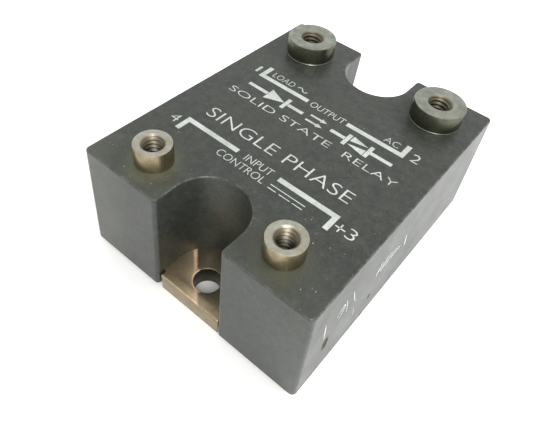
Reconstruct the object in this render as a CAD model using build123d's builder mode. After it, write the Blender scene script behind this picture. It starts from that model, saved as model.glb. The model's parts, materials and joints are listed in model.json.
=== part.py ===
"""Panel-mount solid state relay in the usual low rectangular case, as the pieces it comes apart into.

Millimetres, +Z up. The origin is at the middle of the base plate's underside, which is the face that
rests on a panel or heat sink. The two load terminals (1 and 2) are towards +Y, the two control
terminals (3 and 4) towards -Y. Seen from above with +Y away, 1 and 4 are on the left, 2 and 3 on the
right. The base plate carries a ceramic power stage with two thyristor chips back to back; a control
board stands over it on pins; the case drops over both and is filled with potting compound.
"""

import os

from build123d import *

os.makedirs("parts", exist_ok=True)

# ---- Driving dimensions ------------------------------------------------------------------------

# Moulded case: a box with draft, open underneath
rim_w, rim_l = 46.3, 57.85  # outline at the lower rim, X by Y
top_w, top_l = 44.4, 56.3  # outline at the top
rim_z = 1.35  # the rim stops short of the mounting surface
top_z = 22.95
corner_r = 0.9  # upright corners
edge_r = 0.2  # edge round the top
wall = 2.4
roof = 2.6
lip = 1.6  # the thinner wall that hangs beside the plate

# Screw recesses, one at each end
mount_pitch = 47.6  # round hole to slot, 1.875 in
recess_r = 6.4  # at the top of the case
recess_draft = 0.028  # growth of that radius for each mm down
recess_wall = 1.6
mouth_r = 0.7  # upright edges of the mouth

# Base plate
plate_t = 4.05
plate_gap = 0.15  # between the plate's edge and the case lip
tongue_w, tongue_l = 13.4, 56.8  # the tongues fill the foot of each recess
mount_hole_r = 2.4
slot_l = 6.6  # end to end, along Y
broken_edge = 0.4

# Terminal posts, 8-32 for the load and 6-32 for control
post_top_z = 26.4
load_x, load_y, load_r = 14.13, 20.28, 4.7
load_core_r, load_funnel_r, load_depth = 1.73, 2.4, 9.0
load_rivet_r = 1.6
control_x, control_y, control_r = 12.83, -22.2, 3.1
control_core_r, control_funnel_r, control_depth = 1.4, 2.05, 7.5
control_rivet_r = 0.8
shoulder_w, shoulder_t = 0.5, 1.0  # flange that seats under the roof
post_chamfer = 0.25
post_floor = 1.4  # metal below the thread
rivet_head = 0.4  # length that stands below the strip

# Strips from the posts to the power pads and to the board
bus_w, bus_t = 5.0, 0.8
bus_foot_y, bus_riser_y = 3.5, 9.0
lead_w, lead_t = 3.2, 0.5
lead_drop_y = -12.8
leaf_end = 2.4  # leaf past the post's axis
bend_r = 0.9

# Power stage, from the plate up: copper, ceramic, copper pads, chips
copper_t, ceramic_t, chip_t = 0.3, 0.635, 0.4
stage_w, stage_l, stage_y = 36.0, 27.0, 1.0
pad_w, pad_l = 16.4, 20.5
pad_x, pad_shift = 9.0, 2.25
gate_pad_w, gate_pad_l, gate_pad_y = 4.0, 3.5, 10.75
chip_side, chip_x, chip_y = 7.5, 7.5, 3.75
clip_w, clip_t, clip_rise = 4.0, 0.5, 1.3
gate_clip_w, gate_clip_t, gate_clip_rise = 1.0, 0.2, 0.6
pin_r = 0.4
gate_pin_x = 8.9
line_pin_x, line_pin_y = 15.5, -5.0

# Control board and what is on it
board_z, board_t = 10.0, 1.6
board_w, board_l, board_y = 35.0, 27.8, -0.4
cutout_w, cutout_l = 7.0, 6.3  # rear corners, which clear the busbars
tail = 0.8  # leads and pins pass the board by this much
wire_r = 0.3
standoff = 0.3

case_h = top_z - rim_z
roof_z = top_z - roof
ceramic_z = plate_t + copper_t
pad_z = ceramic_z + ceramic_t
chip_z = pad_z + copper_t
clip_z = chip_z + chip_t
board_top = board_z + board_t
sides = (1, -1)  # the front half and the rear half, which is the same turned round

relay = {}


# ---- Shapes that several pieces share ----------------------------------------------------------


def case_outline(z, inset):
    """The case's outline at height z, moved in from its outer skin."""
    rise = (z - rim_z) / case_h
    width = rim_w + (top_w - rim_w) * rise - 2 * inset
    length = rim_l + (top_l - rim_l) * rise - 2 * inset
    with BuildSketch(Plane.XY.offset(z)) as outline:
        RectangleRounded(width, length, max(corner_r - inset, broken_edge))
    return outline.sketch


def recess_outline(z, side, grow):
    """U-shaped outline of a screw recess at height z, open past the end of the case."""
    radius = recess_r + recess_draft * (top_z - z) + grow
    centre_y = -mount_pitch / 2
    outer_y = -rim_l
    with BuildSketch(Plane((0, 0, z), x_dir=(side, 0, 0))) as outline:
        with BuildLine():
            CenterArc((0, centre_y), radius, 0, 180)
            Polyline((-radius, centre_y), (-radius, outer_y), (radius, outer_y), (radius, centre_y))
        make_face()
    return outline.sketch


def slab(centre, width, length, z, height):
    """Flat rectangular layer with its underside at z."""
    with BuildPart() as layer:
        with BuildSketch(Plane.XY.offset(z)):
            with Locations(centre):
                Rectangle(width, length)
        extrude(amount=height)
    return layer


def upright(centre, radius, z, height):
    """Round bar standing on z."""
    with BuildPart() as bar:
        with BuildSketch(Plane.XY.offset(z)):
            with Locations(centre):
                Circle(radius)
        extrude(amount=height)
    return bar


def bent_strip(plane, route, width, thickness, radius):
    """Flat strip bent along a route drawn on a plane, with its width across that plane."""
    with BuildPart() as strip:
        with BuildSketch(plane):
            with BuildLine():
                FilletPolyline(*route, radius=radius)
            trace(line_width=thickness)
        extrude(amount=width / 2, both=True)
    return strip


def save(name, piece):
    """Name a finished piece, write its file and keep it for the pieces that fit round it."""
    piece.part.label = name
    export_step(piece.part, f"parts/{name}.step")
    relay[name] = piece.part
    print(f"{name:24s} {piece.part.volume:10.2f} mm3")


# ---- Case and base plate -----------------------------------------------------------------------

# The hollow of the case, above the plate and around both recesses
with BuildPart() as hollow:
    loft([case_outline(plate_t, wall), case_outline(roof_z, wall)])
    for side in sides:
        skins = [recess_outline(z, side, recess_wall) for z in (plate_t, roof_z)]
        loft(skins, mode=Mode.SUBTRACT)

with BuildPart() as housing_shell:
    loft([case_outline(rim_z, 0), case_outline(top_z, 0)])
    for side in sides:
        cuts = [recess_outline(z, side, 0) for z in (rim_z - 1, top_z + 1)]
        loft(cuts, mode=Mode.SUBTRACT)
    mouth_edges = housing_shell.edges().filter_by(
        lambda edge: edge.length > case_h / 2
        and abs(edge.center().Y) > top_l / 2 - mouth_r
        and abs(edge.center().X) < recess_r + mouth_r
    )
    fillet(mouth_edges, mouth_r)
    fillet(housing_shell.faces().sort_by(Axis.Z)[-1].outer_wire().edges(), edge_r)
    add(hollow.part, mode=Mode.SUBTRACT)
    with BuildSketch(Plane.XY.offset(rim_z)):
        Rectangle(rim_w - 2 * lip, rim_l - 2 * lip)
    extrude(amount=plate_t - rim_z, mode=Mode.SUBTRACT)
    with BuildSketch(Plane.XY.offset(roof_z)):
        for side in sides:
            with Locations((side * load_x, load_y)):
                Circle(load_r)
            with Locations((side * control_x, control_y)):
                Circle(control_r)
    extrude(amount=roof, mode=Mode.SUBTRACT)
save("housing_shell", housing_shell)

with BuildPart() as base_plate:
    with BuildSketch():
        Rectangle(rim_w - 2 * (lip + plate_gap), rim_l - 2 * (lip + plate_gap))
        Rectangle(tongue_w, tongue_l)
        with Locations((0, -mount_pitch / 2)):
            Circle(mount_hole_r, mode=Mode.SUBTRACT)
        with Locations((0, mount_pitch / 2)):
            SlotOverall(slot_l, 2 * mount_hole_r, rotation=90, mode=Mode.SUBTRACT)
    extrude(amount=plate_t)
    end_edges = base_plate.edges().filter_by(
        lambda edge: abs(edge.center().Y) > tongue_l / 2 - broken_edge / 2
    )
    chamfer(end_edges.filter_by(Axis.Z), broken_edge)
    end_edges = base_plate.edges().filter_by(Axis.X).filter_by(
        lambda edge: abs(edge.center().Y) > tongue_l / 2 - broken_edge / 2
    )
    fillet(end_edges, broken_edge)
save("base_plate", base_plate)

# ---- Terminal posts and the strips riveted to them ----------------------------------------------


def terminal_post(x, y, radius, core_r, funnel_r, depth, rivet_r, strip_t):
    """Turned post with a blind tapped hole, a shoulder under the roof and a rivet below."""
    foot_z = post_top_z - depth - post_floor
    steps = (
        (foot_z - strip_t - rivet_head, rivet_r, strip_t + rivet_head),
        (foot_z, radius - shoulder_w, roof_z - shoulder_t - foot_z),
        (roof_z - shoulder_t, radius + shoulder_w, shoulder_t),
        (roof_z, radius, post_top_z - roof_z),
    )
    with BuildPart() as post:
        for z, step_r, height in steps:
            with BuildSketch(Plane.XY.offset(z)):
                with Locations((x, y)):
                    Circle(step_r)
            extrude(amount=height)
        chamfer(post.faces().sort_by(Axis.Z)[-1].edges(), post_chamfer)
        with Locations((x, y, post_top_z)):
            CounterSinkHole(core_r, funnel_r, depth, 90)
    return post


def riveted_strip(x, rivet_y, route, width, thickness, rivet_r):
    """Strip in the plane of its post, with a hole in its leaf for the post's rivet."""
    with BuildPart() as strip:
        add(bent_strip(Plane.YZ.offset(x), route, width, thickness, bend_r).part)
        with BuildSketch(Plane.XY.offset(route[-1][1] - thickness)):
            with Locations((x, rivet_y)):
                Circle(rivet_r)
        extrude(amount=2 * thickness, mode=Mode.SUBTRACT)
    return strip


# Busbars: a foot soldered to the power pad, a riser, and a leaf under the load post
leaf_z = post_top_z - load_depth - post_floor - bus_t / 2
bus_route = (
    (bus_foot_y, chip_z + bus_t / 2),
    (bus_riser_y, chip_z + bus_t / 2),
    (bus_riser_y, leaf_z),
    (load_y + leaf_end, leaf_z),
)
for number, x in ((1, -load_x), (2, load_x)):
    post = terminal_post(
        x, load_y, load_r, load_core_r, load_funnel_r, load_depth, load_rivet_r, bus_t
    )
    save(f"output_post_{number}", post)
    save(f"output_busbar_{number}", riveted_strip(x, load_y, bus_route, bus_w, bus_t, load_rivet_r))

# Control leads: down through a slot in the board, and a leaf under the control post
leaf_z = post_top_z - control_depth - post_floor - lead_t / 2
lead_route = (
    (lead_drop_y, board_z - tail),
    (lead_drop_y, leaf_z),
    (control_y - leaf_end, leaf_z),
)
for number, x in ((3, control_x), (4, -control_x)):
    post = terminal_post(
        x, control_y, control_r, control_core_r, control_funnel_r, control_depth,
        control_rivet_r, lead_t,
    )
    save(f"input_post_{number}", post)
    save(f"input_lead_{number}", riveted_strip(x, control_y, lead_route, lead_w, lead_t, control_rivet_r))

# ---- Power stage -------------------------------------------------------------------------------

save("substrate_back_copper", slab((0, stage_y), stage_w - 1, stage_l - 1, plate_t, copper_t))
save("ceramic_substrate", slab((0, stage_y), stage_w, stage_l, ceramic_z, ceramic_t))

# Each chip lies on its own pad. Its clip carries the current from its top to the other pad, and a
# thinner one joins its gate to the gate pad.
clip_route = (
    (-chip_x - clip_w / 2, clip_z + clip_t / 2),
    (-chip_x + chip_side / 3, clip_z + clip_t / 2),
    (-chip_x / 2 + clip_t, clip_z + clip_rise),
    (-clip_t, clip_z + clip_rise),
    (clip_t * 2, chip_z + clip_t / 2),
    (clip_t * 7, chip_z + clip_t / 2),
)
gate_edge = -chip_y - chip_side / 2
gate_route = (
    (gate_edge + gate_clip_w, clip_z + gate_clip_t / 2),
    (gate_edge, clip_z + gate_clip_t / 2),
    (gate_edge - gate_clip_w / 2, clip_z + gate_clip_rise),
    (gate_edge - gate_clip_w, clip_z + gate_clip_rise),
    (gate_edge - 2 * gate_clip_w, chip_z + gate_clip_t / 2),
    (-gate_pad_y - gate_clip_w, chip_z + gate_clip_t / 2),
)
pin_l = board_top + tail - chip_z


def spot(way, x, y):
    """A point of one half of the stage. The second half is the first turned round."""
    return (way * x, stage_y + way * y)


for number, way in ((1, 1), (2, -1)):
    pad = slab(spot(way, -pad_x, pad_shift), pad_w, pad_l, pad_z, copper_t)
    gate_pad = slab(spot(way, -chip_x, -gate_pad_y), gate_pad_w, gate_pad_l, pad_z, copper_t)
    chip = slab(spot(way, -chip_x, -chip_y), chip_side, chip_side, chip_z, chip_t)
    clip_plane = Plane((*spot(way, 0, -chip_y), 0), x_dir=(way, 0, 0), z_dir=(0, -way, 0))
    clip = bent_strip(clip_plane, clip_route, clip_w, clip_t, clip_t)
    gate_plane = Plane((*spot(way, -chip_x, 0), 0), x_dir=(0, way, 0), z_dir=(way, 0, 0))
    gate_clip = bent_strip(gate_plane, gate_route, gate_clip_w, gate_clip_t, gate_clip_t)
    save(f"power_pad_{number}", pad)
    save(f"gate_pad_{number}", gate_pad)
    save(f"thyristor_chip_{number}", chip)
    save(f"cathode_clip_{number}", clip)
    save(f"gate_clip_{number}", gate_clip)
    save(f"gate_pin_{number}", upright(spot(way, -gate_pin_x, -gate_pad_y), pin_r, chip_z, pin_l))
    save(f"line_pin_{number}", upright((-way * line_pin_x, line_pin_y), pin_r, chip_z, pin_l))

# ---- Components on the control board -----------------------------------------------------------


def leaded_body(centre, along, body_r, body_l, pitch):
    """Resistor or diode lying on the board: a round body and a wire bent down at each end."""
    axis_z = board_top + standoff + body_r
    plane = Plane((*centre, 0), x_dir=along, z_dir=(along[1], -along[0], 0))
    with BuildPart() as body:
        with BuildSketch(Plane((*centre, axis_z), x_dir=(0, 0, 1), z_dir=(*along, 0))):
            Circle(body_r)
        extrude(amount=body_l / 2, both=True)
        fillet(body.edges().filter_by(GeomType.CIRCLE), body_r / 3)
    with BuildPart() as component:
        with BuildLine(plane) as wire:
            FilletPolyline(
                (-pitch / 2, board_z - tail),
                (-pitch / 2, axis_z),
                (pitch / 2, axis_z),
                (pitch / 2, board_z - tail),
                radius=2 * wire_r,
            )
        with BuildSketch(Plane(wire.line @ 0, z_dir=(0, 0, 1))):
            Circle(wire_r)
        sweep()
        add(body.part)
    return component


def chip_package(name, centre, width, length, height, leads_each_side):
    """Moulded package with a row of bent leads along each long side, saved as body and leads."""
    body_z = board_top + standoff
    with BuildPart() as body:
        add(slab(centre, width, length, body_z, height).part)
        chamfer(body.faces().sort_by(Axis.Z)[-1].edges(), broken_edge)
    with BuildPart() as leads:
        for side in sides:
            route = (
                (side * width / 2, body_z + height / 2),
                (side * (width / 2 + package_lead_w), body_z + height / 2),
                (side * (width / 2 + package_lead_w), board_z - tail),
            )
            middle = (leads_each_side - 1) / 2
            for index in range(leads_each_side):
                lead_y = centre[1] + (index - middle) * lead_pitch
                plane = Plane((centre[0], lead_y, 0), x_dir=(1, 0, 0), z_dir=(0, -1, 0))
                lead = bent_strip(plane, route, package_lead_w, package_lead_t, package_lead_t)
                add(lead.part)
    save(name, body)
    save(f"{name}_leads", leads)


package_lead_w, package_lead_t, lead_pitch = 0.5, 0.25, 2.54
chip_package("optocoupler", (-3.2, 0.0), 6.4, 8.6, 3.4, 3)
chip_package("rectifier_bridge", (6.6, 1.0), 6.4, 6.2, 3.0, 2)

save("input_resistor", leaded_body((-3.5, -12.0), (1, 0), 1.15, 6.3, 10.2))
save("protection_diode", leaded_body((-3.5, -8.2), (1, 0), 0.95, 4.2, 7.6))
save("gate_resistor_1", leaded_body((-9.3, 0.0), (0, 1), 1.15, 6.3, 10.2))
save("gate_resistor_2", leaded_body((-1.5, 9.5), (1, 0), 1.15, 6.3, 10.2))
save("snubber_resistor", leaded_body((13.2, -1.0), (0, 1), 1.6, 9.0, 12.7))

# Driver transistor: a D-shaped moulding on three straight leads
transistor_x, transistor_y, transistor_r, transistor_h = 6.5, -9.5, 2.4, 4.6
transistor_flat, transistor_lift, transistor_pitch = 1.2, 1.5, 1.27
with BuildPart() as driver_transistor:
    with BuildSketch(Plane.XY.offset(board_top + transistor_lift)):
        with Locations((transistor_x, transistor_y)):
            Circle(transistor_r)
            with Locations((0, -transistor_flat - transistor_r)):
                Rectangle(2 * transistor_r, 2 * transistor_r, mode=Mode.SUBTRACT)
    extrude(amount=transistor_h)
    with BuildSketch(Plane.XY.offset(board_z - tail)):
        with Locations((transistor_x, transistor_y)):
            with GridLocations(transistor_pitch, 0, 3, 1):
                Circle(wire_r)
    extrude(amount=tail + board_t + transistor_lift)
save("driver_transistor", driver_transistor)

# Snubber capacitor: a boxed film type on two straight leads
capacitor_spot, capacitor_w, capacitor_l, capacitor_h, capacitor_pitch = (-14.0, 1.5), 5.0, 11.0, 7.5, 7.6
with BuildPart() as snubber_capacitor:
    with BuildSketch(Plane.XY.offset(board_top)):
        with Locations(capacitor_spot):
            Rectangle(capacitor_w, capacitor_l)
    extrude(amount=capacitor_h)
    fillet(snubber_capacitor.edges().filter_by(Axis.Z), broken_edge)
    with BuildSketch(Plane.XY.offset(board_z - tail)):
        with Locations(capacitor_spot):
            with GridLocations(0, capacitor_pitch, 1, 2):
                Circle(wire_r)
    extrude(amount=tail + board_t)
save("snubber_capacitor", snubber_capacitor)

# ---- Board and potting: cut to fit what passes through them ------------------------------------

inside = [part for name, part in relay.items() if name not in ("housing_shell", "base_plate")]
with BuildPart() as circuit_board:
    with BuildSketch(Plane.XY.offset(board_z)):
        with Locations((0, board_y)):
            Rectangle(board_w, board_l)
            for side in sides:
                corner = (side * board_w / 2, board_l / 2)
                with Locations(corner):
                    Rectangle(2 * cutout_w, 2 * cutout_l, mode=Mode.SUBTRACT)
    extrude(amount=board_t)
    for part in inside:
        if part.bounding_box().min.Z < board_z < part.bounding_box().max.Z:
            add(part, mode=Mode.SUBTRACT)
save("circuit_board", circuit_board)

with BuildPart() as free_space:
    add(hollow.part)
    for part in [*inside, circuit_board.part]:
        add(part, mode=Mode.SUBTRACT)
with BuildPart() as potting_compound:
    # The resin is the largest of the free spaces. The others are the tapped holes of the posts.
    add(free_space.solids().sort_by(SortBy.VOLUME)[-1])
save("potting_compound", potting_compound)
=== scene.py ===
# %% [markdown]
# # A solid state relay
#
# The relay is a dark moulded case on a thick metal plate, with four tapped posts for ring terminals.
# The engineering model is loaded first. It holds every real size, so nothing here moves or resizes it.
# This file adds the threads, the plate's rolled edges, the print, the marks of use and the finishes.

# %% Load the engineering model
import json
import math

import bpy
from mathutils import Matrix, Quaternion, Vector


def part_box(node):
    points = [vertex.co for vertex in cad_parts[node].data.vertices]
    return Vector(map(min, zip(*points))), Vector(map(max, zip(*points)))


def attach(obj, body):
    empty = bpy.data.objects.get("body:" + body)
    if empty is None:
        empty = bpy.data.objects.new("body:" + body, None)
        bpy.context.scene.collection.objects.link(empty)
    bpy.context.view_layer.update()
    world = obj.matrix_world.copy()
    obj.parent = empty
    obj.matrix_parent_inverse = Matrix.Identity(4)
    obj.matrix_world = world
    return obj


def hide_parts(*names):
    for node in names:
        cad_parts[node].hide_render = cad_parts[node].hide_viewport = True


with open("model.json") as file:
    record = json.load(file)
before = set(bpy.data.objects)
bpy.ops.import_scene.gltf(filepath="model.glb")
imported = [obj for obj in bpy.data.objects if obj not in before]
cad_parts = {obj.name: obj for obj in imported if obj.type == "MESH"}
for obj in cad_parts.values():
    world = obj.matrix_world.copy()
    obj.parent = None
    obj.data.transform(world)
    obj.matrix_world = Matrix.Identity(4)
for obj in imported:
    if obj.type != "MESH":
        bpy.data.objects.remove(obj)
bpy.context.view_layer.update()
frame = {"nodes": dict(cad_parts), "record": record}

mm = 0.001
body = "root"

# %% [markdown]
# ## Camera
#
# A small object on a table, seen from above its right-hand front corner. The camera is rolled a
# little, as a hand-held one is, so the level direction of sight is turned about its own axis.

# %% Camera
camera_place = Vector((33.0, -58.0, 78.4)) * mm
camera_aim = Vector((2.98, -11.37, 13.0)) * mm
camera_roll = math.radians(8.6)

camera_data = bpy.data.cameras.new("camera")
camera_data.sensor_width = 36.0
camera_data.lens = 33.47
camera_data.clip_start = 1 * mm
camera = bpy.data.objects.new("camera", camera_data)
camera.location = camera_place
camera.rotation_mode = "QUATERNION"
level_view = (camera_aim - camera_place).to_track_quat("-Z", "Y")
camera.rotation_quaternion = level_view @ Quaternion((0, 0, 1), camera_roll)
bpy.context.scene.collection.objects.link(camera)
bpy.context.scene.camera = camera
print("camera to relay:", round((camera_place - camera_aim).length / mm), "mm")

# %% [markdown]
# ## Colours and nodes
#
# Colours are written as the hex values that a paint program shows, and one function turns them to the
# linear values that a renderer mixes. A finish is a chain of nodes. One function adds any node,
# because every node needs the same three things: its settings, its values and its links.


# %% Hex colours
def linear(hex_colour):
    """sRGB hex, such as "3a3d39", to a linear colour with alpha 1."""
    parts = [int(hex_colour[i:i + 2], 16) / 255 for i in (0, 2, 4)]
    return (*[p / 12.92 if p <= 0.04045 else ((p + 0.055) / 1.055) ** 2.4 for p in parts], 1.0)


print("charcoal is", [round(c, 3) for c in linear("2d2f2a")[:3]], "in linear light")


# %% Add a node
def add_node(tree, kind, **values):
    """Adds a shader node. Names in small letters are its settings. Capitalised names are its inputs,
    and _0 and _1 are inputs by number. An input takes a value, a socket, or a node, whose first
    output it then reads."""
    node = tree.nodes.new("ShaderNode" + kind)
    for key in [key for key in values if key.islower()]:
        setattr(node, key, values.pop(key))
    for key, value in values.items():
        name = key.replace("_", " ")
        if key[0] == "_":
            socket = node.inputs[int(key[1:])]
        else:
            socket = next(s for s in node.inputs if s.enabled and s.name == name)
        if isinstance(value, bpy.types.Node):
            value = next(s for s in value.outputs if s.enabled)
        if isinstance(value, bpy.types.NodeSocket):
            tree.links.new(value, socket)
        else:
            socket.default_value = value
    return node


def start_material(name):
    """An empty material, its node tree, and where each point is in the relay's frame, in metres."""
    material = bpy.data.materials.new(name)
    material.use_nodes = True
    tree = material.node_tree
    tree.nodes.clear()
    return material, tree, add_node(tree, "TexCoord").outputs["Object"]


def upwards(tree):
    """How far the surface faces up: 1 on top, 0 on a side, -1 underneath."""
    facing = add_node(tree, "SeparateXYZ", Vector=add_node(tree, "NewGeometry").outputs["Normal"])
    return facing.outputs["Z"]


def distance_from(tree, place, centre_mm, squash=(1, 1, 1)):
    """Distance in mm from a point, with each axis stretched by squash first."""
    centred = add_node(tree, "Mapping", Vector=place, Scale=[s / mm for s in squash],
                       Location=[-c * s for c, s in zip(centre_mm, squash)])
    return add_node(tree, "VectorMath", operation="LENGTH", _0=centred)


def dress(node, material):
    """Gives a node of the engineering model its finish."""
    slots = frame["nodes"][node].data.materials
    slots.clear()
    slots.append(material)


print("patterns are placed in the relay's own frame, in metres")

# %% [markdown]
# ## Moulded case: skin
#
# Glass-filled thermoplastic, moulded in a spark-eroded tool. It is charcoal, with a matt grain that
# still shines at a low angle, so its sides mirror the table and look paler than its top. Three sizes
# of noise make the skin: greasy smudges of 7 mm, mottling of 1.3 mm, and the grain. The real grain is
# about 0.03 mm; it is drawn at 0.22 mm, as fine as still shows.


# %% Skin of the case
smudge_size, mottle_size, real_grain, drawn_grain = 7 * mm, 1.3 * mm, 0.03 * mm, 0.22 * mm


def charcoal_skin(tree, place):
    """Colour and patterns of the clean plastic: (colour, smudge, mottle, grain)."""
    smudge = add_node(tree, "TexNoise", Vector=place, Scale=1 / smudge_size, Detail=4.0, Roughness=0.6)
    mottle = add_node(tree, "TexNoise", Vector=place, Scale=1 / mottle_size, Detail=5.0, Roughness=0.65)
    grain = add_node(tree, "TexNoise", Vector=place, Scale=1 / drawn_grain, Detail=2.0, Roughness=0.6)
    smudged = add_node(tree, "MapRange", Value=smudge, From_Min=0.35, From_Max=0.65)
    colour = add_node(tree, "Mix", data_type="RGBA", Factor=smudged, A=linear("272a29"),
                      B=linear("2d2f2a"))
    mottled = add_node(tree, "MapRange", Value=mottle, From_Min=0.35, From_Max=0.7, To_Max=0.7)
    colour = add_node(tree, "Mix", data_type="RGBA", Factor=mottled, A=colour, B=linear("41453d"))
    pitted = add_node(tree, "MapRange", Value=grain, From_Min=0.4, From_Max=0.65, To_Max=0.6)
    colour = add_node(tree, "Mix", data_type="RGBA", Factor=pitted, A=colour, B=linear("191c1a"))
    return colour, smudge, mottle, grain


print("grain drawn", round(drawn_grain / real_grain), "times coarser than the real one")

# %% [markdown]
# ## Moulded case: dirt and a painted reflection
#
# Years in a cabinet leave a brown-green crust beside the control posts, where flux and skin oil
# collect, and pale dust. The top is paler along its front, and the left-hand part of the front gets a
# painted paler reflection. Crust and dust lie on what faces up, so the direction of the surface masks
# both.

# %% Crust beside the control posts
control_x, control_y, case_top_mm = 12.83, -22.2, 22.95
crust_clear, crust_reach = 3.2, 5.4


def control_crust(tree, place, up, mottle, colour):
    """Dried residue in a ragged ring round each control post, thicker at post 4."""
    ragged = add_node(tree, "MapRange", Value=mottle, From_Min=0.3, From_Max=0.7, To_Min=-1.2,
                      To_Max=1.2)
    for side, strength in ((-1, 0.6), (1, 0.35)):
        post = distance_from(tree, place, (side * control_x, control_y - 0.6, case_top_mm))
        away = add_node(tree, "Math", operation="ADD", _0=post, _1=ragged)
        crust = add_node(tree, "MapRange", Value=away, From_Min=crust_clear, From_Max=crust_reach,
                         To_Min=strength, To_Max=0.0)
        crust = add_node(tree, "Math", operation="MULTIPLY", _0=crust, _1=up)
        colour = add_node(tree, "Mix", data_type="RGBA", Factor=crust, A=colour, B=linear("54543f"))
    return colour


print("crust reaches", crust_reach, "mm from a control post's axis")


# %% Paler front, and a painted reflection on the front's left
def pale_front_and_painted_reflection(tree, where, up, smudge, colour):
    """Paler on the front 10 mm of the top, with a painted paler reflection down the front's left-hand
    side.
    """
    wander = add_node(tree, "Math", operation="MULTIPLY", _0=smudge, _1=8 * mm)
    edge = add_node(tree, "Math", operation="ADD", _0=where["Y"], _1=wander)
    front_paleness = add_node(tree, "MapRange", Value=edge, From_Min=-24 * mm, From_Max=-15 * mm, To_Min=0.35,
                    To_Max=0.0)
    on_top = add_node(tree, "Math", operation="MULTIPLY", _0=up, _1=0.5)
    # Painted reflection: the front's left-hand part is made paler, as if it mirrored more light.
    painted_reflection_on_left = add_node(tree, "MapRange", Value=where["X"], From_Min=-12 * mm, From_Max=-19 * mm)
    either = add_node(tree, "Math", operation="MAXIMUM", _0=on_top, _1=painted_reflection_on_left)
    front_paleness = add_node(tree, "Math", operation="MULTIPLY", _0=front_paleness, _1=either)
    return add_node(tree, "Mix", data_type="RGBA", Factor=front_paleness, A=colour, B=linear("55574c"))


# %% Dust
dust_cell, dust_speck = 0.55 * mm, 0.2


def settled_dust(tree, place, where, up, colour):
    """Specks up to 0.11 mm in radius, one to a cell, in drifts of 5 mm: (colour, speck)."""
    cells = add_node(tree, "TexVoronoi", Vector=place, Scale=1 / dust_cell, Randomness=1.0)
    chance = add_node(tree, "SeparateColor", Color=cells.outputs["Color"])
    size = add_node(tree, "Math", operation="MULTIPLY", _0=chance.outputs[1], _1=dust_speck)
    speck = add_node(tree, "Math", operation="LESS_THAN", _0=cells.outputs["Distance"], _1=size)
    some = add_node(tree, "MapRange", Value=chance.outputs[0], From_Min=0.72, From_Max=0.95)
    drift = add_node(tree, "TexNoise", Vector=place, Scale=1 / (5 * mm), Detail=3.0)
    drift = add_node(tree, "MapRange", Value=drift, From_Min=0.42, From_Max=0.62, To_Min=0.25)
    upward = add_node(tree, "Math", operation="MAXIMUM", _0=up, _1=0.35)
    front = add_node(tree, "MapRange", Value=where["Y"], From_Min=-18 * mm, From_Max=-8 * mm,
                     To_Min=1.7, To_Max=0.8)
    for mask in (some, drift, upward, front):
        speck = add_node(tree, "Math", operation="MULTIPLY", _0=speck, _1=mask)
    shown = add_node(tree, "Math", operation="MULTIPLY", _0=speck, _1=0.5)
    return add_node(tree, "Mix", data_type="RGBA", Factor=shown, A=colour, B=linear("a4a89c")), speck


print("largest dust speck:", round(dust_cell * dust_speck / mm, 2), "mm in radius")

# %% [markdown]
# ## Moulded case: wear and a painted highlight
#
# Handling polishes the edge round the top, and a paler line is painted there, partly wear and partly a
# painted highlight. It shows only where the surface turns from one face to the next. The right-hand
# side has lost three small chips down to the dull core. A chip is rough, so its mask also spreads the
# shine out to nothing and sinks the surface.


# %% Rubbed edges with a painted highlight, and chips
def rubbed_edge_and_painted_highlight(tree, up_facing, mottle, colour):
    """A paler line on the edge round the top, partly wear and partly a painted highlight, broken by the
    mottling.
    """
    rising = add_node(tree, "MapRange", Value=up_facing, From_Min=0.25, From_Max=0.5)
    falling = add_node(tree, "MapRange", Value=up_facing, From_Min=0.9, From_Max=0.99, To_Min=1.0,
                       To_Max=0.0)
    patchy = add_node(tree, "MapRange", Value=mottle, From_Min=0.4, From_Max=0.7, To_Max=0.4)
    # Painted highlight: the paler line stands partly for light caught on the rounded edge.
    rub_and_highlight = add_node(tree, "Math", operation="MULTIPLY", _0=rising, _1=falling)
    rub_and_highlight = add_node(tree, "Math", operation="MULTIPLY", _0=rub_and_highlight, _1=patchy)
    return add_node(tree, "Mix", data_type="RGBA", Factor=rub_and_highlight, A=colour, B=linear("6c7068"))


chips = (((22.9, -22.3, 9.2), (0.5, 1.1, 0.5)), ((23.0, -8.7, 6.3), (0.5, 2.4, 1.2)),
         ((23.1, -9.8, 1.6), (0.5, 1.8, 1.4)))


def side_chips(tree, place, grain):
    """Where the side is chipped: 1 in a chip, with a ragged edge."""
    ragged = add_node(tree, "MapRange", Value=grain, From_Min=0.3, From_Max=0.7, To_Min=-0.4,
                      To_Max=0.4)
    chipped = 0.0
    for centre_mm, squash in chips:
        away = distance_from(tree, place, centre_mm, squash)
        away = add_node(tree, "Math", operation="ADD", _0=away, _1=ragged)
        chip = add_node(tree, "MapRange", Value=away, From_Min=0.65, From_Max=1.0, To_Min=1.0,
                        To_Max=0.0)
        chipped = add_node(tree, "Math", operation="MAXIMUM", _0=chipped, _1=chip)
    return chipped


print(len(chips), "chips")


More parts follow.
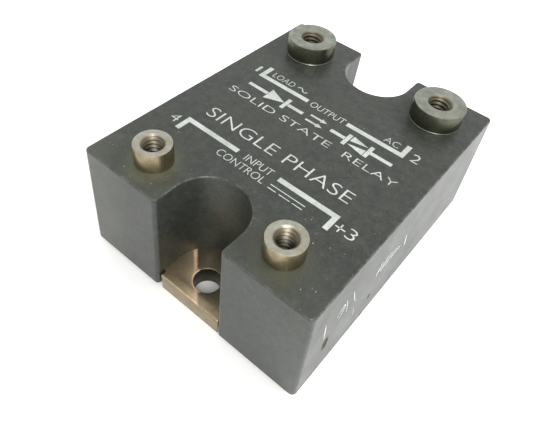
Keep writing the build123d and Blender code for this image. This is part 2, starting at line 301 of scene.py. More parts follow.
# %% Finish of the case
def eroded_charcoal_thermoplastic():
    """Skin, then crust, the paler front with its painted reflection, dust, the rubbed edge with its
    painted highlight, and chips, with the grain and the specks as relief.
    """
    material, tree, place = start_material("eroded_charcoal_thermoplastic")
    up_facing = upwards(tree)
    where = add_node(tree, "SeparateXYZ", Vector=place).outputs
    up = add_node(tree, "MapRange", Value=up_facing, From_Min=0.2, From_Max=0.9)
    colour, smudge, mottle, grain = charcoal_skin(tree, place)
    colour = control_crust(tree, place, up, mottle, colour)
    colour = pale_front_and_painted_reflection(tree, where, up, smudge, colour)
    colour, speck = settled_dust(tree, place, where, up, colour)
    colour = rubbed_edge_and_painted_highlight(tree, up_facing, mottle, colour)
    chipped = side_chips(tree, place, grain)
    colour = add_node(tree, "Mix", data_type="RGBA", Factor=chipped, A=colour, B=linear("33331f"))

    greasy = add_node(tree, "MapRange", Value=smudge, From_Min=0.3, From_Max=0.7, To_Min=0.27,
                      To_Max=0.37)
    rough = add_node(tree, "Math", operation="MULTIPLY_ADD", _0=speck, _1=0.3, _2=greasy)
    rough = add_node(tree, "Math", operation="MULTIPLY_ADD", _0=grain, _1=0.1, _2=rough)
    rough = add_node(tree, "Math", operation="MAXIMUM", _0=rough, _1=chipped)
    relief = add_node(tree, "Math", operation="MULTIPLY", _0=grain, _1=0.3)
    relief = add_node(tree, "Math", operation="MULTIPLY_ADD", _0=mottle, _1=0.1, _2=relief)
    relief = add_node(tree, "Math", operation="MULTIPLY_ADD", _0=speck, _1=0.4, _2=relief)
    relief = add_node(tree, "Math", operation="SUBTRACT", _0=relief, _1=chipped)
    relief = add_node(tree, "Bump", Height=relief, Distance=0.05 * mm)
    plastic = add_node(tree, "BsdfPrincipled", Base_Color=colour, Roughness=rough, IOR=1.5,
                       Normal=relief)
    add_node(tree, "OutputMaterial", Surface=plastic)
    return material


dress("housing_shell", eroded_charcoal_thermoplastic())
print("case dressed")

# %% [markdown]
# ## Modelling by hand
#
# Pieces are made with the same operators as by hand. An operator acts on all that is selected, so each
# piece starts from a clean selection. A turned part starts as one vertex, whose outline is drawn by
# extruding it from point to point, and is then spun round its axis.


# %% Clean selection and outline
def start_clean():
    """Leaves edit mode and selects nothing."""
    if bpy.context.object and bpy.context.object.mode != "OBJECT":
        bpy.ops.object.mode_set(mode="OBJECT")
    bpy.ops.object.select_all(action="DESELECT")


def draw_outline(name, points):
    """A chain of edges through the points, drawn by extruding one vertex. Ends in edit mode."""
    start_clean()
    bpy.ops.mesh.primitive_plane_add(size=mm, location=points[0])
    piece = bpy.context.object
    piece.name = name
    bpy.ops.object.transform_apply(location=True)
    bpy.ops.object.mode_set(mode="EDIT")
    bpy.ops.mesh.select_all(action="SELECT")
    bpy.ops.mesh.merge(type="CENTER")
    for here, there in zip(points, points[1:]):
        step = Vector(there) - Vector(here)
        bpy.ops.mesh.extrude_vertices_move(TRANSFORM_OT_translate={"value": step})
    return piece


def close_shell():
    """In edit mode: merges doubles, points every face outwards, and leaves edit mode."""
    bpy.ops.mesh.select_all(action="SELECT")
    bpy.ops.mesh.remove_doubles(threshold=0.0005 * mm)
    bpy.ops.mesh.normals_make_consistent(inside=False)
    bpy.ops.object.mode_set(mode="OBJECT")


# %% Modifiers, cuts and hand-over
def add_modifier(piece, kind, **settings):
    """Adds a modifier, sets it and applies it."""
    modifier = piece.modifiers.new(kind.lower(), kind)
    for key, value in settings.items():
        setattr(modifier, key, value)
    bpy.context.view_layer.objects.active = piece
    bpy.ops.object.modifier_apply(modifier=modifier.name)


def combine(piece, tool, operation="DIFFERENCE"):
    """Cuts one closed piece with another, or joins them, and throws the tool away."""
    start_clean()
    add_modifier(piece, "BOOLEAN", operation=operation, solver="EXACT", object=tool)
    bpy.data.objects.remove(tool)


def join_pieces(pieces, name):
    """Makes one object of several."""
    start_clean()
    for piece in pieces:
        piece.select_set(True)
    bpy.context.view_layer.objects.active = pieces[0]
    bpy.ops.object.join()
    bpy.context.object.name = name
    return bpy.context.object


def hand_over(piece, material, slot, *nodes):
    """The last steps of a piece: finish, shading, body, and the nodes that it stands for."""
    start_clean()
    piece.data.materials.clear()
    piece.data.materials.append(material)
    piece.select_set(True)
    bpy.context.view_layer.objects.active = piece
    bpy.ops.object.shade_smooth_by_angle(angle=math.radians(32))
    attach(piece, body)
    if nodes:
        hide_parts(*nodes)
    print(f"{piece.name:24s} {len(piece.data.polygons):7d} faces")


# %% [markdown]
# ## Terminal posts: finish
#
# Each post is turned from brass bar, tapped and barrel plated with nickel. The turned rim is painted
# pale and the side darker, a painted reflection: the rim mirrors the bright room, the side the dark
# case. The side is greenish on the load posts, brown on the control posts. Deep in the bore there is
# little plating, and the bore is painted darker the deeper it goes, a painted shade. The turning marks
# are rings round the axis of each post, about 0.1 mm apart, so each post has its own copy of the
# finish, centred on it.


# %% Nickel plate
def tarnished_nickel_plate(name, centre, bore_r, rim_tones, side_tones):
    """Metal with soft highlights, clouded in patches of 1.6 mm and stained in spots of 0.3 mm."""
    material, tree, place = start_material(name)
    up_facing = upwards(tree)
    cloud = add_node(tree, "TexNoise", Vector=place, Scale=1 / (1.6 * mm), Detail=4.0, Roughness=0.6)
    fine = add_node(tree, "TexNoise", Vector=place, Scale=1 / (0.3 * mm), Detail=3.0, Roughness=0.6)
    axis = (centre.x / mm, centre.y / mm, 0)
    out = distance_from(tree, place, axis, (1, 1, 0.0001))

    clouded = add_node(tree, "MapRange", Value=cloud, From_Min=0.36, From_Max=0.66)
    rim = add_node(tree, "Mix", data_type="RGBA", Factor=clouded, A=linear(rim_tones[0]),
                   B=linear(rim_tones[1]))
    side = add_node(tree, "Mix", data_type="RGBA", Factor=clouded, A=linear(side_tones[0]),
                    B=linear(side_tones[1]))
    # Painted reflection: faces that look up get the pale rim tones, the sides get the dark side tones.
    painted_light_on_rim = add_node(tree, "MapRange", Value=up_facing, From_Min=0.45, From_Max=0.8)
    colour = add_node(tree, "Mix", data_type="RGBA", Factor=painted_light_on_rim, A=side, B=rim)
    spots = add_node(tree, "MapRange", Value=fine, From_Min=0.45, From_Max=0.75, To_Max=0.5)
    colour = add_node(tree, "Mix", data_type="RGBA", Factor=spots, A=colour, B=linear(side_tones[0]))

    # Painted shade: inside the bore the colour darkens the deeper it goes.
    height = add_node(tree, "SeparateXYZ", Vector=place).outputs["Z"]
    daylight = add_node(tree, "MapRange", Value=height, From_Min=23.4 * mm, From_Max=25.4 * mm)
    bore = add_node(tree, "Mix", data_type="RGBA", Factor=daylight, A=linear("1f1b16"),
                    B=linear("655b49"))
    inside = add_node(tree, "MapRange", Value=out, From_Min=bore_r / mm, From_Max=bore_r / mm + 0.25,
                      To_Min=0.85, To_Max=0.0)
    colour = add_node(tree, "Mix", data_type="RGBA", Factor=inside, A=colour, B=bore)

    rough = add_node(tree, "MapRange", Value=cloud, From_Min=0.3, From_Max=0.7, To_Min=0.28,
                     To_Max=0.42)
    rough = add_node(tree, "Math", operation="MULTIPLY_ADD", _0=inside, _1=0.1, _2=rough)
    rings = add_node(tree, "TexNoise", noise_dimensions="1D", W=out, Scale=9.0, Detail=2.0)
    relief = add_node(tree, "Math", operation="ADD", _0=rings, _1=fine)
    relief = add_node(tree, "Bump", Height=relief, Distance=0.01 * mm)
    metal = add_node(tree, "BsdfPrincipled", Base_Color=colour, Metallic=1.0, Roughness=rough,
                     Normal=relief)
    add_node(tree, "OutputMaterial", Surface=metal)
    return material


# %% [markdown]
# ## Terminal posts: shape
#
# The load posts are tapped 8-32 and the control posts 6-32, which is 32 turns to the inch. The helix
# catches the light in the bore, so it is real geometry: one tooth is drawn, a Screw modifier winds it
# up the bore, its ends are cut flat and filled, and the screw is subtracted from the turned post. The
# bore's radius and the post's height come from the engineering model.

# %% Screw-shaped tool
thread_pitch = 25.4 / 32 * mm


def thread_tool(core_r, major_r, centre, low_z, high_z):
    """A solid right-hand screw with 60 degree threads, from low_z to one pitch above high_z."""
    flat = thread_pitch / 8
    tooth = thread_pitch / 2 - flat
    tool = draw_outline("thread_tool", [
        (core_r, 0, 0), (core_r, 0, flat), (major_r, 0, flat + tooth), (major_r, 0, 2 * flat + tooth),
        (core_r, 0, 2 * flat + 2 * tooth),
    ])
    start_clean()
    turns = math.ceil((high_z - low_z) / thread_pitch) + 3
    add_modifier(tool, "SCREW", axis="Z", angle=2 * math.pi, screw_offset=thread_pitch,
                 iterations=turns, steps=56, render_steps=56, use_merge_vertices=True,
                 merge_threshold=0.0005 * mm)
    tool.location = (centre.x, centre.y, low_z - 2 * thread_pitch)
    tool.select_set(True)
    bpy.ops.object.transform_apply(location=True)
    for height, above in ((low_z, False), (high_z + thread_pitch, True)):
        bpy.ops.object.mode_set(mode="EDIT")
        bpy.ops.mesh.select_all(action="SELECT")
        bpy.ops.mesh.bisect(plane_co=(centre.x, centre.y, height), plane_no=(0, 0, 1),
                            use_fill=True, clear_outer=above, clear_inner=not above)
        close_shell()
    return tool


print("thread pitch:", round(thread_pitch / mm, 3), "mm")

# %% Turned and tapped post
case_top = case_top_mm * mm
roof_t = 2.6 * mm
roof_underside = case_top - roof_t
shoulder_w, shoulder_t = 0.5 * mm, 1.0 * mm
rim_round, foot_h, thread_floor = 0.3 * mm, 1.2 * mm, 3.2 * mm


def tapped_post(node, mount, major_r, collar):
    """The post of one node: shaft, shoulder under the roof, thin collar on the case, and bore."""
    low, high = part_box(node)
    centre = (low + high) / 2
    mounts = {entry["name"]: entry for entry in frame["record"]["mounts"]}
    core_r = mounts[mount]["dims"]["r_mm"] * mm
    shoulder_r = (high.x - low.x) / 2
    post_r = shoulder_r - shoulder_w
    mouth_r = major_r + rim_round
    funnel_z = high.z - (mouth_r - core_r * 0.9)
    outline = [
        (0, low.z), (shoulder_r / 3, low.z), (shoulder_r / 3, low.z + foot_h),
        (post_r - rim_round, low.z + foot_h), (post_r - rim_round, roof_underside - shoulder_t),
        (shoulder_r, roof_underside - shoulder_t), (shoulder_r, roof_underside),
        (post_r, roof_underside), (post_r, case_top + 0.01 * mm),
        (post_r + collar, case_top + 0.01 * mm), (post_r + collar, case_top + 0.08 * mm),
        (post_r, case_top + 0.16 * mm), (post_r, high.z - rim_round),
        (post_r - rim_round * 0.25, high.z - rim_round * 0.35), (post_r - rim_round, high.z),
        (mouth_r + rim_round * 0.4, high.z), (mouth_r, high.z - rim_round * 0.15),
        (core_r * 0.9, funnel_z), (0, funnel_z),
    ]
    post = draw_outline(f"tapped_{node}", [(centre.x + r, centre.y, z) for r, z in outline])
    bpy.ops.mesh.select_all(action="SELECT")
    bpy.ops.mesh.spin(steps=112, angle=2 * math.pi, center=(centre.x, centre.y, 0), axis=(0, 0, 1))
    close_shell()
    combine(post, thread_tool(core_r, major_r, centre, low.z + thread_floor, high.z))
    return post


def copy_across(post, node, other_node):
    """A copy of the post of one node, with its own mesh, at the other node of its pair."""
    start_clean()
    post.select_set(True)
    bpy.context.view_layer.objects.active = post
    bpy.ops.object.duplicate(linked=False)
    twin = bpy.context.object
    twin.name = f"tapped_{other_node}"
    twin.location = (sum(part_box(other_node), Vector()) - sum(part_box(node), Vector())) / 2
    bpy.ops.object.transform_apply(location=True)
    return twin


# %% Load posts and control posts
load_major_r, control_major_r = 4.166 / 2 * mm, 3.505 / 2 * mm
load_post = tapped_post("output_post_1", "terminal_1", load_major_r, 0.06 * mm)
control_post = tapped_post("input_post_3", "terminal_3", control_major_r, 0.02 * mm)
load_tones = ("aaada4", "8f9286"), ("666859", "4f5143")
control_tones = ("bfbeb6", "a7a28f"), ("9f9579", "857a60")
second_load_post = copy_across(load_post, "output_post_1", "output_post_2")
second_control_post = copy_across(control_post, "input_post_3", "input_post_4")
for post, node, major_r, tones in (
    (load_post, "output_post_1", load_major_r, load_tones),
    (second_load_post, "output_post_2", load_major_r, load_tones),
    (control_post, "input_post_3", control_major_r, control_tones),
    (second_control_post, "input_post_4", control_major_r, control_tones),
):
    centre = sum(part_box(node), Vector()) / 2
    nickel = tarnished_nickel_plate(f"nickel_{node}", centre, major_r, *tones)
    hand_over(post, nickel, "plated_post", node)

# %% [markdown]
# ## Base plate: finish
#
# A thick copper plate, stamped and nickel plated, which carries the heat to the panel. The plating has
# gone bronze. A painted highlight, a bright copper glint, runs in a straight line across the front
# tongue and touches the rim of its hole. Left of it the metal is painted lighter and right of it
# darker, a painted reflection of the dark wall there. The glint is made less metallic, so that its pale
# colour shows bright.

# %% Painted glint beside the front hole
hole_y, hole_r = 23.8 * mm, 2.4 * mm


def painted_streak_masks(tree, place, where, fine, cloud, on_top):
    """The painted masks: (glint, painted light on its left, painted dark reflection on its right, from
    the hole).
    """
    # Painted highlight: a bright glint along a wavering straight line across the tongue.
    waver = add_node(tree, "Math", operation="MULTIPLY_ADD", _0=fine, _1=0.5 * mm, _2=26.35 * mm)
    across = add_node(tree, "Math", operation="ADD", _0=where["X"], _1=where["Y"])
    across = add_node(tree, "Math", operation="ADD", _0=across, _1=waver)
    off_line = add_node(tree, "Math", operation="ABSOLUTE", _0=across)
    painted_glint = add_node(tree, "MapRange", Value=off_line, From_Min=0.15 * mm, From_Max=0.65 * mm,
                    To_Min=1.0, To_Max=0.0)
    deep_end = add_node(tree, "MapRange", Value=where["Y"], From_Min=-24 * mm, From_Max=-21.5 * mm,
                        To_Min=0.3)
    patchy = add_node(tree, "MapRange", Value=cloud, From_Min=0.3, From_Max=0.55, To_Min=0.4)
    for mask in (deep_end, patchy):
        painted_glint = add_node(tree, "Math", operation="MULTIPLY", _0=painted_glint, _1=mask)

    from_hole = distance_from(tree, place, (0, -hole_y / mm, 0), (1, 1, 0.0001))
    # Painted highlight: a thin bright ring on the hole's rim, kept to where the glint line meets it.
    rim = add_node(tree, "Math", operation="SUBTRACT", _0=from_hole, _1=hole_r / mm + 0.2)
    rim = add_node(tree, "Math", operation="ABSOLUTE", _0=rim)
    rim = add_node(tree, "MapRange", Value=rim, From_Min=0.05, From_Max=0.25, To_Min=0.9, To_Max=0.0)
    beside = add_node(tree, "MapRange", Value=off_line, From_Min=0.7 * mm, From_Max=1.3 * mm,
                      To_Min=1.0, To_Max=0.0)
    rim = add_node(tree, "Math", operation="MULTIPLY", _0=rim, _1=beside)
    painted_glint = add_node(tree, "Math", operation="MAXIMUM", _0=painted_glint, _1=rim)

    # Painted light: a broad paler band on the left of the glint line, brightest next to it.
    glow = add_node(tree, "MapRange", Value=across, From_Min=-3.2 * mm, From_Max=-0.2 * mm)
    left = add_node(tree, "MapRange", Value=across, From_Min=0.3 * mm, From_Max=0.0, To_Max=0.55)
    glow = add_node(tree, "Math", operation="MULTIPLY", _0=glow, _1=left)
    # Painted reflection: right of the glint line the metal is painted darker, less so towards the
    # front.
    painted_dark_reflection = add_node(tree, "MapRange", Value=across, From_Min=0.1 * mm, From_Max=0.7 * mm, To_Max=0.85)
    fade = add_node(tree, "MapRange", Value=where["Y"], From_Min=-28 * mm, From_Max=-25.5 * mm,
                    To_Min=0.4)
    painted_dark_reflection = add_node(tree, "Math", operation="MULTIPLY", _0=painted_dark_reflection, _1=fade)
    masks = [add_node(tree, "Math", operation="MULTIPLY", _0=mask, _1=on_top)
             for mask in (painted_glint, glow, painted_dark_reflection)]
    return *masks, from_hole


# %% Plated copper
def tarnished_nickel_on_copper():
    """Satin bronze in patches of 2.2 mm, browner on the cut edges, and painted nearly black in the
    front hole as shade.
    """
    material, tree, place = start_material("tarnished_nickel_on_copper")
    up_facing = upwards(tree)
    where = add_node(tree, "SeparateXYZ", Vector=place).outputs
    cloud = add_node(tree, "TexNoise", Vector=place, Scale=1 / (2.2 * mm), Detail=5.0, Roughness=0.6)
    fine = add_node(tree, "TexNoise", Vector=place, Scale=1 / (0.35 * mm), Detail=3.0, Roughness=0.7)
    on_top = add_node(tree, "MapRange", Value=where["Z"], From_Min=3.7 * mm, From_Max=3.95 * mm)
    painted_glint, glow, painted_dark_reflection, from_hole = painted_streak_masks(tree, place, where, fine, cloud, on_top)

    clouded = add_node(tree, "MapRange", Value=cloud, From_Min=0.35, From_Max=0.65)
    spots = add_node(tree, "MapRange", Value=fine, From_Min=0.4, From_Max=0.8, To_Max=0.6)
    cut_edge = add_node(tree, "MapRange", Value=up_facing, From_Min=0.3, From_Max=0.8, To_Min=0.7,
                        To_Max=0.0)
    # Painted shade: the wall of the front hole is made nearly black.
    painted_hole_shade = add_node(tree, "MapRange", Value=from_hole, From_Min=hole_r / mm + 0.02,
                     From_Max=hole_r / mm + 0.12, To_Min=0.85, To_Max=0.0)
    colour = linear("dcc3a0")
    # Painted light among these tones: the glint, the lighter band left of it, the darker reflection
    # right of it, and the shade in the front hole.
    for mask, tone in ((clouded, "b5a688"), (spots, "8f8068"), (painted_dark_reflection, "615c4f"), (glow, "ffe2c0"),
                       (painted_glint, "ffcba2"), (cut_edge, "7f7563"), (painted_hole_shade, "37362f")):
        colour = add_node(tree, "Mix", data_type="RGBA", Factor=mask, A=colour, B=linear(tone))

    metallic_off_glint = add_node(tree, "MapRange", Value=painted_glint, To_Min=1.0, To_Max=0.15)
    rough = add_node(tree, "MapRange", Value=cloud, From_Min=0.3, From_Max=0.7, To_Min=0.36,
                     To_Max=0.5)
    relief = add_node(tree, "Math", operation="ADD", _0=fine, _1=cloud)
    relief = add_node(tree, "Bump", Height=relief, Distance=0.02 * mm)
    metal = add_node(tree, "BsdfPrincipled", Base_Color=colour, Metallic=metallic_off_glint, Roughness=rough,
                     Normal=relief)
    add_node(tree, "OutputMaterial", Surface=metal)
    return material


# %% [markdown]
# ## Base plate: shape
#
# The plate is a block with a narrower tongue under each screw recess. It is drilled at the front and
# slotted at the rear. Stamping rolls its edges over, which a Bevel modifier does at the end, when all
# the edges are there.


# %% Blocks and drills
def plate_block(name, width, length, thickness):
    """A block that stands on the mounting surface, in the middle."""
    start_clean()
    bpy.ops.mesh.primitive_cube_add(size=1, location=(0, 0, thickness / 2))
    block = bpy.context.object
    block.name = name
    block.scale = (width, length, thickness)
    bpy.ops.object.transform_apply(location=True, scale=True)
    return block


def slot_tool(y, half_travel):
    """A drill that reaches through the plate, drawn out along Y by half_travel to each side. The
    points of each half are selected by their place and pushed out."""
    start_clean()
    bpy.ops.mesh.primitive_cylinder_add(vertices=72, radius=hole_r, depth=20 * mm, location=(0, y, 0))
    tool = bpy.context.object
    bpy.ops.object.transform_apply(location=True)
    if half_travel:
        for direction in (-1, 1):
            bpy.ops.object.mode_set(mode="EDIT")
            bpy.ops.mesh.select_all(action="DESELECT")
            bpy.ops.object.mode_set(mode="OBJECT")
            for vertex in tool.data.vertices:
                vertex.select = (vertex.co.y - y) * direction > 0.01 * mm
            bpy.ops.object.mode_set(mode="EDIT")
            bpy.ops.transform.translate(value=(0, direction * half_travel, 0))
            bpy.ops.object.mode_set(mode="OBJECT")
    return tool


# %% Base plate
plate_length, tongue_w, slot_half_travel, edge_roll = 54.35 * mm, 13.4 * mm, 0.9 * mm, 0.28 * mm
plate_low, plate_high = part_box("base_plate")
plate = plate_block("stamped_base_plate", plate_high.x - plate_low.x, plate_length, plate_high.z)
tongues = plate_block("tongues", tongue_w, plate_high.y - plate_low.y, plate_high.z)
combine(plate, tongues, "UNION")
combine(plate, slot_tool(-hole_y, 0))
combine(plate, slot_tool(hole_y, slot_half_travel))
add_modifier(plate, "BEVEL", width=edge_roll, segments=3, limit_method="ANGLE",
             angle_limit=math.radians(50))
hand_over(plate, tarnished_nickel_on_copper(), "plate_metal", "base_plate")

# %% [markdown]
# ## Print
#
# The legend is pad printed in white ink. Heavy brackets join each pair of terminals, with the numbers
# beside the posts and plain words between. A symbol of a switch without contacts fills the middle. The
# ink is a film a few hundredths of a millimetre thick, so each mark is a thin solid on the case's top.


# %% Ink
def pad_printed_white_ink():
    """Matt ink, thin enough that the dark case greys it, with pinholes of 0.35 mm."""
    material, tree, place = start_material("pad_printed_white_ink")
    thin = add_node(tree, "TexNoise", Vector=place, Scale=1 / (0.35 * mm), Detail=3.0, Roughness=0.7)
    patch = add_node(tree, "TexNoise", Vector=place, Scale=1 / (4 * mm), Detail=2.0)
    patchy = add_node(tree, "MapRange", Value=patch, From_Min=0.35, From_Max=0.65)
    worn = add_node(tree, "MapRange", Value=thin, From_Min=0.5, From_Max=0.75, To_Max=0.7)
    colour = add_node(tree, "Mix", data_type="RGBA", Factor=patchy, A=linear("b0b4b0"),
                      B=linear("9ca09c"))
    colour = add_node(tree, "Mix", data_type="RGBA", Factor=worn, A=colour, B=linear("6c706c"))
    rough = add_node(tree, "MapRange", Value=thin, From_Min=0.3, From_Max=0.7, To_Min=0.45,
                     To_Max=0.65)
    ink = add_node(tree, "BsdfPrincipled", Base_Color=colour, Roughness=rough, IOR=1.45)
    add_node(tree, "OutputMaterial", Surface=ink)
    return material


# %% Printed marks
ink_thickness = 0.03 * mm
printed = []


def thicken(mark):
    """Raises a flat mark by the thickness of the ink, and keeps it for the print."""
    bpy.ops.object.mode_set(mode="EDIT")
    bpy.ops.mesh.select_all(action="SELECT")
    bpy.ops.mesh.extrude_region_move(TRANSFORM_OT_translate={"value": (0, 0, ink_thickness)})
    close_shell()
    printed.append(mark)


def print_shape(points):
    """Prints a filled outline, in mm on the case's top."""
    mark = draw_outline("mark", [(x * mm, y * mm, case_top) for x, y in points])
    bpy.ops.mesh.select_all(action="SELECT")
    bpy.ops.mesh.edge_face_add()
    bpy.ops.object.mode_set(mode="OBJECT")
    thicken(mark)


def print_line(start, end, width):
    """Prints a straight line, in mm, with square ends."""
    start, end = Vector(start), Vector(end)
    side = (end - start).normalized().orthogonal() * width / 2
    print_shape([start - side, end - side, end + side, start + side])


def print_words(words, left, right, base, height):
    """Prints thin capitals between left and right on a base line, in mm."""
    start_clean()
    bpy.ops.object.text_add()
    bpy.context.object.data.body = words
    bpy.context.object.data.offset = -0.014
    bpy.ops.object.convert(target="MESH")
    mark = bpy.context.object
    low, high = Vector(mark.bound_box[0]), Vector(mark.bound_box[6])
    scale_x = (right - left) * mm / (high.x - low.x)
    scale_y = height * mm / (high.y - low.y)
    mark.scale = (scale_x, scale_y, 1)
    mark.location = (left * mm - low.x * scale_x, base * mm - low.y * scale_y, case_top)
    bpy.ops.object.transform_apply(location=True, scale=True)
    thicken(mark)


# %% Brackets and words
bar_w, leg_w = 0.95, 0.9
for outer, inner, bar_y, leg_end in ((-16.15, -4.86, 7.1, 10.25), (15.3, 3.8, 6.9, 9.9),
                                     (-16.3, -4.96, -11.65, -14.6), (14.96, 3.6, -11.9, -15.0)):
    far = bar_y - math.copysign(bar_w / 2, leg_end)
    near = bar_y + math.copysign(bar_w / 2, leg_end)
    leg_in = outer - math.copysign(leg_w, outer)
    print_shape([(outer, far), (inner, far), (inner, near), (leg_in, near), (leg_in, leg_end),
                 (outer, leg_end)])

for words in (
    ("1", -17.6, -17.1, 7.2, 2.0), ("2", 16.3, 17.8, 6.7, 2.2), ("4", -18.6, -17.1, -13.9, 2.0),
    ("3", 17.25, 18.75, -14.2, 2.1), ("OUTPUT", -4.05, 3.25, 6.25, 1.5),
    ("INPUT", -3.25, 2.2, -12.5, 1.5), ("LOAD", -14.2, -9.4, 8.2, 1.5), ("AC", 10.6, 13.5, 7.85, 1.5),
    ("SOLID STATE", -17.2, 4.9, -0.65, 1.55), ("RELAY", 7.6, 17.7, -0.65, 1.55),
    ("SINGLE PHASE", -15.2, 14.3, -8.7, 2.6), ("CONTROL", -7.3, 2.3, -14.6, 1.5),
):
    print_words(*words)
print(len(printed), "marks so far")

# %% Plus sign, alternating and direct current
print_line((15.25, -13.3), (17.0, -13.3), 0.24)
print_line((16.1, -14.15), (16.1, -12.45), 0.24)
wave = [(-8.6 + 2.2 * t / 12, 8.95 + 0.42 * math.sin(2 * math.pi * t / 12)) for t in range(13)]
for start, end in zip(wave, wave[1:]):
    print_line(start, end, 0.24)
print_line((3.4, -13.6), (10.0, -13.6), 0.17)
for start_x, end_x in ((3.4, 5.0), (5.6, 7.7), (8.1, 10.0)):
    print_line((start_x, -14.4), (end_x, -14.4), 0.17)

# %% Symbol: light-emitting diode, two rays, two-way thyristor
axis_y, half_h, stroke = 3.55, 1.55, 0.75
for start_x, end_x in ((-15.75, -11.4), (-6.7, -3.4), (2.6, 5.7), (10.8, 14.9)):
    print_line((start_x, axis_y), (end_x, axis_y), stroke)
for bar_x in (-7.2, 6.0, 10.4):
    print_line((bar_x, axis_y - half_h), (bar_x, axis_y + half_h), stroke)
for ray_y in (axis_y - 0.8, axis_y + 0.8):
    print_line((-2.2, ray_y), (0.1, ray_y), 0.45)
    print_shape([(0.1, ray_y - 0.55), (1.3, ray_y), (0.1, ray_y + 0.55)])
print_shape([(-11.3, axis_y - half_h), (-7.6, axis_y), (-11.3, axis_y + half_h)])
print_shape([(6.6, axis_y + 0.08), (9.9, axis_y + 0.8), (6.6, axis_y + half_h)])
print_shape([(9.9, axis_y - 0.08), (6.6, axis_y - 0.8), (9.9, axis_y - half_h)])
hand_over(join_pieces(printed, "printed_legend"), pad_printed_white_ink(), "print_ink")

# %% [markdown]
# ## Scratches
#
# The right-hand side carries pale scratches. Each is a low burr that tapers at its ends, so a curve
# with a fine round bevel is drawn for it, upright on the relay's middle plane. All of them are then
# flattened, leaned over to the slope of the side, and moved out to it.


# %% Torn plastic
def burred_thermoplastic():
    """Plastic that a point has torn: whitened, and rougher than the skin round it."""
    material, tree, place = start_material("burred_thermoplastic")
    torn = add_node(tree, "TexNoise", Vector=place, Scale=1 / (0.3 * mm), Detail=3.0, Roughness=0.7)
    patchy = add_node(tree, "MapRange", Value=torn, From_Min=0.35, From_Max=0.65)
    colour = add_node(tree, "Mix", data_type="RGBA", Factor=patchy, A=linear("f2f3ee"),
                      B=linear("b9bcb5"))
    rough = add_node(tree, "MapRange", Value=torn, From_Min=0.3, From_Max=0.7, To_Min=0.5,
                     To_Max=0.8)
    plastic = add_node(tree, "BsdfPrincipled", Base_Color=colour, Roughness=rough, IOR=1.5)
    add_node(tree, "OutputMaterial", Surface=plastic)
    return material


# %% Scratches
def scratch(width, points):
    """A tapered burr through (y, z) points, all in mm. The drawn edges become a smooth curve."""
    draw_outline("burr", [(0, y * mm, z * mm) for y, z in points])
    bpy.ops.object.mode_set(mode="OBJECT")
    bpy.ops.object.convert(target="CURVE")
    bpy.ops.object.mode_set(mode="EDIT")
    bpy.ops.curve.select_all(action="SELECT")
    bpy.ops.curve.spline_type_set(type="NURBS")
    bpy.ops.curve.select_all(action="DESELECT")
    bpy.ops.curve.de_select_first()
    bpy.ops.curve.de_select_last()
    bpy.ops.curve.radius_set(radius=0.35)
    bpy.ops.object.mode_set(mode="OBJECT")
    line = bpy.context.object.data
    line.splines[0].order_u = 3
    line.splines[0].use_endpoint_u = True
    line.splines[0].resolution_u = 8
    line.bevel_depth = width / 2 * mm
    line.bevel_resolution = 2
    line.use_fill_caps = True
    bpy.ops.object.convert(target="MESH")
    return bpy.context.object


burrs = [scratch(width, points) for width, points in (
    (0.26, ((-23.7, 16.5), (-23.5, 14.2), (-23.2, 11.9))),
    (0.18, ((-20.4, 14.2), (-19.2, 16.4), (-18.3, 15.2), (-19.6, 12.8))),
    (0.16, ((-18.4, 16.6), (-17.6, 14.3), (-17.4, 12.2))),
    (0.18, ((-16.7, 16.9), (-15.9, 14.6), (-14.9, 12.2))),
    (0.10, ((-14.6, 9.6), (-14.0, 8.2), (-13.8, 6.6))),
    (0.36, ((-8.8, 12.2), (-8.2, 13.6), (-7.4, 14.8))),
    (0.34, ((-7.3, 12.0), (-6.7, 13.2), (-5.8, 14.8))),
    (0.30, ((-5.8, 11.9), (-5.2, 13.0), (-4.6, 14.8))),
    (0.26, ((-4.3, 12.2), (-3.7, 13.2), (-3.1, 14.4))),
    (0.24, ((-2.8, 12.6), (-2.1, 13.5), (-1.2, 13.0))),
    (0.36, ((0.2, 14.6), (0.6, 12.8), (1.1, 11.0))),
)]
scratches = join_pieces(burrs, "side_scratches")

# %% Lay the scratches on the side
rim_z, rim_w, top_w, flatten = 1.35 * mm, 46.3 * mm, 44.4 * mm, 0.25
side_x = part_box("housing_shell")[1].x
lean = math.atan2((rim_w - top_w) / 2, case_top - rim_z)
pivot = (0, 0, rim_z)
bpy.ops.object.mode_set(mode="EDIT")
bpy.ops.mesh.select_all(action="SELECT")
bpy.ops.transform.resize(value=(flatten, 1, 1), center_override=pivot)
bpy.ops.transform.rotate(value=lean, orient_axis="Y", center_override=pivot)
bpy.ops.transform.translate(value=(side_x, 0, 0))
bpy.ops.mesh.normals_make_consistent(inside=False)
bpy.ops.object.mode_set(mode="OBJECT")
hand_over(scratches, burred_thermoplastic(), "burr")
highest = max(scratches.data.vertices, key=lambda v: v.co.z).co
print("skin at the highest burr:", round((side_x - (highest.z - rim_z) * math.tan(lean)) / mm, 2),
      "mm, burr:", round(highest.x / mm, 2), "mm")

# %% [markdown]
# ## Sealed pieces
#
# The resin, the power stage and the board can't be seen in the closed case. They keep the engineering
# model's shapes, and each gets the finish of its real material: two close tones mixed in grains of a
# real size, with a little relief.


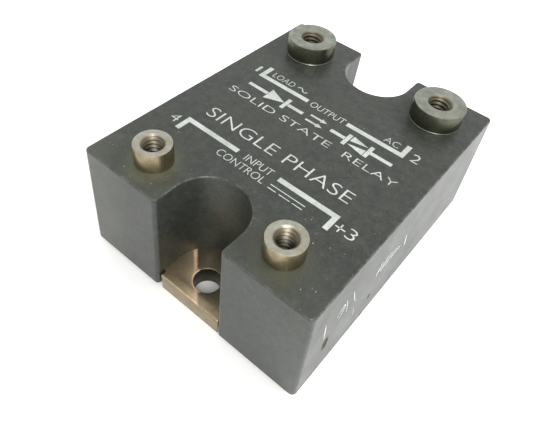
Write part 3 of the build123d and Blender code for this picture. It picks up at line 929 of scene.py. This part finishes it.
# %% Sealed pieces
def sealed_finish(name, light, dark, grain_mm, rough, metallic):
    """The finish of one hidden material."""
    material, tree, place = start_material(name)
    grain = add_node(tree, "TexNoise", Vector=place, Scale=1 / (grain_mm * mm), Detail=4.0)
    mixed = add_node(tree, "MapRange", Value=grain, From_Min=0.35, From_Max=0.65)
    colour = add_node(tree, "Mix", data_type="RGBA", Factor=mixed, A=linear(light), B=linear(dark))
    uneven = add_node(tree, "MapRange", Value=grain, From_Min=0.3, From_Max=0.7,
                      To_Min=rough - 0.08, To_Max=rough + 0.08)
    relief = add_node(tree, "Bump", Height=grain, Distance=0.02 * mm)
    surface = add_node(tree, "BsdfPrincipled", Base_Color=colour, Metallic=metallic,
                       Roughness=uneven, Normal=relief)
    add_node(tree, "OutputMaterial", Surface=surface)
    return material


sealed = {
    "potting": sealed_finish("filled_epoxy_resin", "2b2c2e", "1f2021", 0.6, 0.5, 0.0),
    "copper": sealed_finish("rolled_copper", "d99a76", "b87450", 0.5, 0.32, 1.0),
    "ceramic": sealed_finish("fired_alumina", "f1f0ea", "e2e0d8", 0.3, 0.6, 0.0),
    "silicon": sealed_finish("lapped_silicon", "6d7076", "5a5d64", 0.2, 0.25, 1.0),
    "board_laminate": sealed_finish("masked_glass_epoxy", "2c6b38", "235a2f", 0.5, 0.35, 0.0),
    "package_moulding": sealed_finish("moulded_epoxy", "262627", "1b1b1c", 0.15, 0.55, 0.0),
    "resistor_lacquer": sealed_finish("tan_lacquer", "c9ac80", "b8996c", 0.4, 0.35, 0.0),
    "diode_glass": sealed_finish("amber_glass", "a8552a", "8c4420", 0.8, 0.12, 0.0),
    "capacitor_box": sealed_finish("polyester_film_box", "8f3a26", "7c2f1f", 0.4, 0.4, 0.0),
    "tinned_wire": sealed_finish("tinned_wire", "cfd0ce", "b4b5b3", 0.2, 0.3, 1.0),
}
hidden = [s for s in frame["record"]["subparts"] if s["material_slot"] in sealed]
for subpart in hidden:
    dress(subpart["node"], sealed[subpart["material_slot"]])
print(len(hidden), "sealed pieces dressed")

# %% [markdown]
# ## Studio
#
# A white table in a white room, which makes the case's sides pale at a low angle. One soft lamp over
# the camera's shoulder puts the glints on the posts. A second, like a window at the back right, lights
# the table that the right-hand side mirrors; it is kept out of reflections, so it draws no line of its
# own along the edges.


# %% Table and room
def white_card():
    """Matt card with a faint tooth."""
    material, tree, place = start_material("white_card")
    tooth = add_node(tree, "TexNoise", Vector=place, Scale=1 / (3 * mm), Detail=3.0)
    colour = add_node(tree, "Mix", data_type="RGBA", Factor=tooth, A=linear("fafaf9"),
                      B=linear("fcfcfb"))
    card = add_node(tree, "BsdfPrincipled", Base_Color=colour, Roughness=0.8)
    add_node(tree, "OutputMaterial", Surface=card)
    return material


start_clean()
bpy.ops.mesh.primitive_plane_add(size=3.0, location=(0, 0, 0))
table = bpy.context.object
table.name = "table"
table.data.materials.append(white_card())

room = bpy.data.worlds.new("white_room")
room.use_nodes = True
room.node_tree.nodes["Background"].inputs["Color"].default_value = linear("f8f9f7")
bpy.context.scene.world = room
bpy.context.scene.view_settings.view_transform = "Standard"


# %% Lamps
def soft_lamp(name, place, size, watts):
    """A square lamp, in mm, that points at the relay."""
    data = bpy.data.lights.new(name, "AREA")
    data.size = size * mm
    data.energy = watts
    lamp = bpy.data.objects.new(name, data)
    lamp.location = Vector(place) * mm
    lamp.rotation_euler = (-lamp.location).to_track_quat("-Z", "Y").to_euler()
    bpy.context.scene.collection.objects.link(lamp)
    return lamp


soft_lamp("shoulder_lamp", (260, -260, 420), 200, 1.7)
window_lamp = soft_lamp("window_lamp", (420, 300, 420), 300, 4.0)
window_lamp.visible_glossy = False
